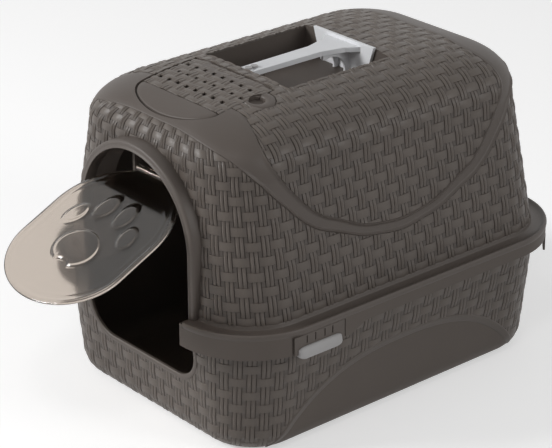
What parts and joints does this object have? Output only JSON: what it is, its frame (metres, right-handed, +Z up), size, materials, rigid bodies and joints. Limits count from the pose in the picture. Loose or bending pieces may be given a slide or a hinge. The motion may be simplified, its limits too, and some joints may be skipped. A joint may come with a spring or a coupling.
{
  "type": "covered cat litter box",
  "caption": "Covered litter box: deep tapered tray, woven-look hood with arched entrance and swinging clear flap, filter lid, carry handle and side latches.",
  "frame": {"origin": "centre of the tray's flat underside, on the surface it stands on", "axes": "+Z up, entrance and flap towards -Y, length along Y, width along X"},
  "size_m": [0.396, 0.6422, 0.375],
  "materials": {
    "brown_plastic": "satin moulded",
    "smoky_clear": "smoky translucent",
    "steel_rod": "satin",
    "charcoal_pad": "matt fibre",
    "light_grey_plastic": "satin"
  },
  "bodies": {
    "tray": {"tray": "brown_plastic"},
    "hood": {"hood": "brown_plastic", "flap_rod": "steel_rod", "filter_pad": "charcoal_pad", "handle": "light_grey_plastic", "handle_pegs": "light_grey_plastic"},
    "flap": {"flap": "smoky_clear"},
    "filter_cover": {"filter_cover": "brown_plastic"},
    "latch_left": {"latch_tab_left": "brown_plastic", "latch_clip_left": "light_grey_plastic"},
    "latch_right": {"latch_tab_right": "brown_plastic", "latch_clip_right": "light_grey_plastic"}
  },
  "joints": [
    {"name": "hood_lift", "type": "slide", "parent": "tray", "child": "hood", "axis": [0, 0, 1], "range_m": [0, 0.3]},
    {"name": "flap_swing", "type": "hinge", "parent": "hood", "child": "flap", "pos_m": [0, -0.208, 0.28], "axis": [1, 0, 0], "range_deg": [-8, 84]},
    {"name": "filter_cover_lift", "type": "slide", "parent": "hood", "child": "filter_cover", "axis": [0, 0, 1], "range_m": [0, 0.08]},
    {"name": "latch_left_flex", "type": "hinge", "parent": "hood", "child": "latch_left", "pos_m": [-0.1925, -0.146, 0.151], "axis": [0, 1, 0], "range_deg": [0, 20], "stiffness_Nm_per_rad": 0.5},
    {"name": "latch_right_flex", "type": "hinge", "parent": "hood", "child": "latch_right", "pos_m": [0.1925, -0.146, 0.151], "axis": [0, -1, 0], "range_deg": [0, 20], "stiffness_Nm_per_rad": 0.5}
  ]
}
